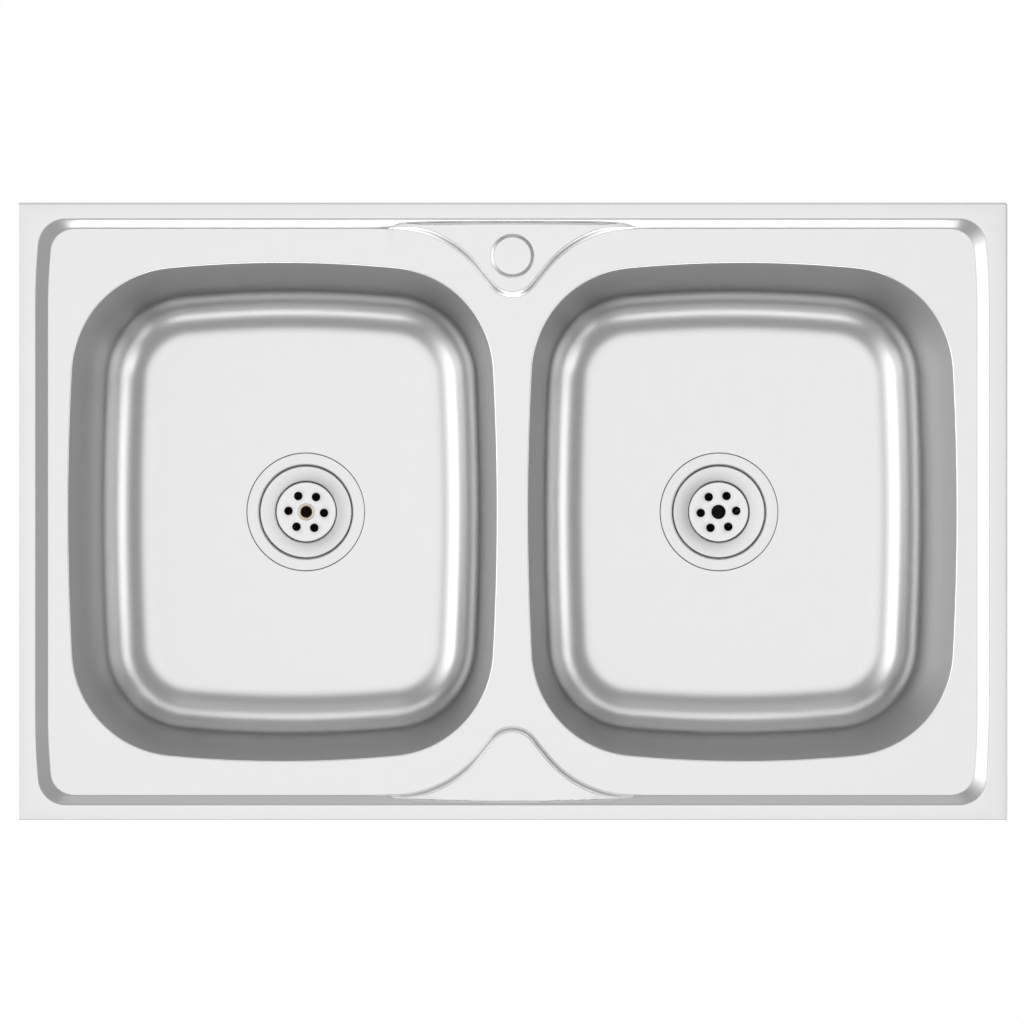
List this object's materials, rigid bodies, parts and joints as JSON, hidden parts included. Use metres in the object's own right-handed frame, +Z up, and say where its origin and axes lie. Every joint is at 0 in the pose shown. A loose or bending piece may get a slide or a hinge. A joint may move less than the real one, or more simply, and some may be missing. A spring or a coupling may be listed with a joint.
{
  "type": "double bowl kitchen sink",
  "caption": "Drop-in double bowl kitchen sink of brushed stainless steel with recessed deck, lift-out strainers in round wastes, blanked tap hole and underside worktop clips.",
  "frame": {"origin": "middle of the sink, in plan, on the plane of the worktop's upper surface that the rim rests on", "axes": "+X along the long side to the right as seen from the front, +Y to the back edge with the tap hole, +Z up"},
  "size_m": [0.8, 0.5, 0.2282],
  "materials": {
    "stainless_sheet": "satin brushed",
    "stainless_waste": "polished",
    "brass": "turned",
    "dark_steel": "blackened",
    "rubber": "moulded, matte",
    "foam_seal": "closed-cell foam",
    "damping_pad": "matte bitumen sheet",
    "moulded_plastic": "injection moulded, fine grain",
    "zinc_steel": "zinc plated"
  },
  "bodies": {
    "sink": {"deck": "stainless_sheet", "tap_hole_blank": "stainless_sheet", "left_bowl": "stainless_sheet", "right_bowl": "stainless_sheet", "rim_seal": "foam_seal", "left_bowl_floor": "stainless_sheet", "left_sound_pad": "damping_pad", "left_waste_cup": "stainless_waste", "left_cup_gasket": "rubber", "left_clamp_gasket": "rubber", "left_waste_body": "moulded_plastic", "left_waste_outlet": "moulded_plastic", "left_waste_spider": "moulded_plastic", "left_thread_insert": "brass", "left_clamp_screw": "dark_steel", "right_bowl_floor": "stainless_sheet", "right_sound_pad": "damping_pad", "right_waste_cup": "stainless_waste", "right_cup_gasket": "rubber", "right_clamp_gasket": "rubber", "right_waste_body": "moulded_plastic", "right_waste_outlet": "moulded_plastic", "right_waste_spider": "moulded_plastic", "right_thread_insert": "brass", "right_clamp_screw": "dark_steel", "clip_brackets": "zinc_steel", "clip_weld_nuts": "zinc_steel"},
    "left_strainer": {"left_strainer": "stainless_waste", "left_strainer_eyelet": "brass"},
    "right_strainer": {"right_strainer": "stainless_waste"},
    "front_left_clip_collar": {"front_left_clip_collar": "zinc_steel"},
    "front_left_clip_screw": {"front_left_clip_screw": "zinc_steel"},
    "front_left_clip_jaw": {"front_left_clip_jaw": "zinc_steel"},
    "front_right_clip_collar": {"front_right_clip_collar": "zinc_steel"},
    "front_right_clip_screw": {"front_right_clip_screw": "zinc_steel"},
    "front_right_clip_jaw": {"front_right_clip_jaw": "zinc_steel"},
    "back_left_clip_collar": {"back_left_clip_collar": "zinc_steel"},
    "back_left_clip_screw": {"back_left_clip_screw": "zinc_steel"},
    "back_left_clip_jaw": {"back_left_clip_jaw": "zinc_steel"},
    "back_right_clip_collar": {"back_right_clip_collar": "zinc_steel"},
    "back_right_clip_screw": {"back_right_clip_screw": "zinc_steel"},
    "back_right_clip_jaw": {"back_right_clip_jaw": "zinc_steel"},
    "left_front_clip_collar": {"left_front_clip_collar": "zinc_steel"},
    "left_front_clip_screw": {"left_front_clip_screw": "zinc_steel"},
    "left_front_clip_jaw": {"left_front_clip_jaw": "zinc_steel"},
    "left_back_clip_collar": {"left_back_clip_collar": "zinc_steel"},
    "left_back_clip_screw": {"left_back_clip_screw": "zinc_steel"},
    "left_back_clip_jaw": {"left_back_clip_jaw": "zinc_steel"},
    "right_front_clip_collar": {"right_front_clip_collar": "zinc_steel"},
    "right_front_clip_screw": {"right_front_clip_screw": "zinc_steel"},
    "right_front_clip_jaw": {"right_front_clip_jaw": "zinc_steel"},
    "right_back_clip_collar": {"right_back_clip_collar": "zinc_steel"},
    "right_back_clip_screw": {"right_back_clip_screw": "zinc_steel"},
    "right_back_clip_jaw": {"right_back_clip_jaw": "zinc_steel"}
  },
  "joints": [
    {"name": "left_strainer_lift", "type": "slide", "parent": "sink", "child": "left_strainer", "axis": [0, 0, 1], "range_m": [0, 0.2]},
    {"name": "right_strainer_lift", "type": "slide", "parent": "sink", "child": "right_strainer", "axis": [0, 0, 1], "range_m": [0, 0.2]},
    {"name": "front_left_clip_rise", "type": "slide", "parent": "sink", "child": "front_left_clip_collar", "axis": [0, 0, 1], "range_m": [0, 0.02]},
    {"name": "front_left_clip_screw_turn", "type": "hinge", "parent": "front_left_clip_collar", "child": "front_left_clip_screw", "pos_m": [-0.2, -0.2256, -0.055], "axis": [0, 0, 1], "range_deg": [0, 7200]},
    {"name": "front_left_clip_jaw_swing", "type": "hinge", "parent": "front_left_clip_collar", "child": "front_left_clip_jaw", "pos_m": [-0.2, -0.2256, -0.055], "axis": [0, 0, 1], "range_deg": [0, 90]},
    {"name": "front_right_clip_rise", "type": "slide", "parent": "sink", "child": "front_right_clip_collar", "axis": [0, 0, 1], "range_m": [0, 0.02]},
    {"name": "front_right_clip_screw_turn", "type": "hinge", "parent": "front_right_clip_collar", "child": "front_right_clip_screw", "pos_m": [0.2, -0.2256, -0.055], "axis": [0, 0, 1], "range_deg": [0, 7200]},
    {"name": "front_right_clip_jaw_swing", "type": "hinge", "parent": "front_right_clip_collar", "child": "front_right_clip_jaw", "pos_m": [0.2, -0.2256, -0.055], "axis": [0, 0, 1], "range_deg": [0, 90]},
    {"name": "back_left_clip_rise", "type": "slide", "parent": "sink", "child": "back_left_clip_collar", "axis": [0, 0, 1], "range_m": [0, 0.02]},
    {"name": "back_left_clip_screw_turn", "type": "hinge", "parent": "back_left_clip_collar", "child": "back_left_clip_screw", "pos_m": [-0.2, 0.2256, -0.055], "axis": [0, 0, 1], "range_deg": [0, 7200]},
    {"name": "back_left_clip_jaw_swing", "type": "hinge", "parent": "back_left_clip_collar", "child": "back_left_clip_jaw", "pos_m": [-0.2, 0.2256, -0.055], "axis": [0, 0, 1], "range_deg": [0, 90]},
    {"name": "back_right_clip_rise", "type": "slide", "parent": "sink", "child": "back_right_clip_collar", "axis": [0, 0, 1], "range_m": [0, 0.02]},
    {"name": "back_right_clip_screw_turn", "type": "hinge", "parent": "back_right_clip_collar", "child": "back_right_clip_screw", "pos_m": [0.2, 0.2256, -0.055], "axis": [0, 0, 1], "range_deg": [0, 7200]},
    {"name": "back_right_clip_jaw_swing", "type": "hinge", "parent": "back_right_clip_collar", "child": "back_right_clip_jaw", "pos_m": [0.2, 0.2256, -0.055], "axis": [0, 0, 1], "range_deg": [0, 90]},
    {"name": "left_front_clip_rise", "type": "slide", "parent": "sink", "child": "left_front_clip_collar", "axis": [0, 0, 1], "range_m": [0, 0.02]},
    {"name": "left_front_clip_screw_turn", "type": "hinge", "parent": "left_front_clip_collar", "child": "left_front_clip_screw", "pos_m": [-0.3718, -0.1, -0.055], "axis": [0, 0, 1], "range_deg": [0, 7200]},
    {"name": "left_front_clip_jaw_swing", "type": "hinge", "parent": "left_front_clip_collar", "child": "left_front_clip_jaw", "pos_m": [-0.3718, -0.1, -0.055], "axis": [0, 0, 1], "range_deg": [0, 90]},
    {"name": "left_back_clip_rise", "type": "slide", "parent": "sink", "child": "left_back_clip_collar", "axis": [0, 0, 1], "range_m": [0, 0.02]},
    {"name": "left_back_clip_screw_turn", "type": "hinge", "parent": "left_back_clip_collar", "child": "left_back_clip_screw", "pos_m": [-0.3718, 0.1, -0.055], "axis": [0, 0, 1], "range_deg": [0, 7200]},
    {"name": "left_back_clip_jaw_swing", "type": "hinge", "parent": "left_back_clip_collar", "child": "left_back_clip_jaw", "pos_m": [-0.3718, 0.1, -0.055], "axis": [0, 0, 1], "range_deg": [0, 90]},
    {"name": "right_front_clip_rise", "type": "slide", "parent": "sink", "child": "right_front_clip_collar", "axis": [0, 0, 1], "range_m": [0, 0.02]},
    {"name": "right_front_clip_screw_turn", "type": "hinge", "parent": "right_front_clip_collar", "child": "right_front_clip_screw", "pos_m": [0.3718, -0.1, -0.055], "axis": [0, 0, 1], "range_deg": [0, 7200]},
    {"name": "right_front_clip_jaw_swing", "type": "hinge", "parent": "right_front_clip_collar", "child": "right_front_clip_jaw", "pos_m": [0.3718, -0.1, -0.055], "axis": [0, 0, 1], "range_deg": [0, 90]},
    {"name": "right_back_clip_rise", "type": "slide", "parent": "sink", "child": "right_back_clip_collar", "axis": [0, 0, 1], "range_m": [0, 0.02]},
    {"name": "right_back_clip_screw_turn", "type": "hinge", "parent": "right_back_clip_collar", "child": "right_back_clip_screw", "pos_m": [0.3718, 0.1, -0.055], "axis": [0, 0, 1], "range_deg": [0, 7200]},
    {"name": "right_back_clip_jaw_swing", "type": "hinge", "parent": "right_back_clip_collar", "child": "right_back_clip_jaw", "pos_m": [0.3718, 0.1, -0.055], "axis": [0, 0, 1], "range_deg": [0, 90]}
  ],
  "couplings": [
    {"joint": "front_left_clip_screw_turn", "follows": "front_left_clip_rise", "rad_per_m": 6283.2},
    {"joint": "front_right_clip_screw_turn", "follows": "front_right_clip_rise", "rad_per_m": 6283.2},
    {"joint": "back_left_clip_screw_turn", "follows": "back_left_clip_rise", "rad_per_m": 6283.2},
    {"joint": "back_right_clip_screw_turn", "follows": "back_right_clip_rise", "rad_per_m": 6283.2},
    {"joint": "left_front_clip_screw_turn", "follows": "left_front_clip_rise", "rad_per_m": 6283.2},
    {"joint": "left_back_clip_screw_turn", "follows": "left_back_clip_rise", "rad_per_m": 6283.2},
    {"joint": "right_front_clip_screw_turn", "follows": "right_front_clip_rise", "rad_per_m": 6283.2},
    {"joint": "right_back_clip_screw_turn", "follows": "right_back_clip_rise", "rad_per_m": 6283.2}
  ]
}
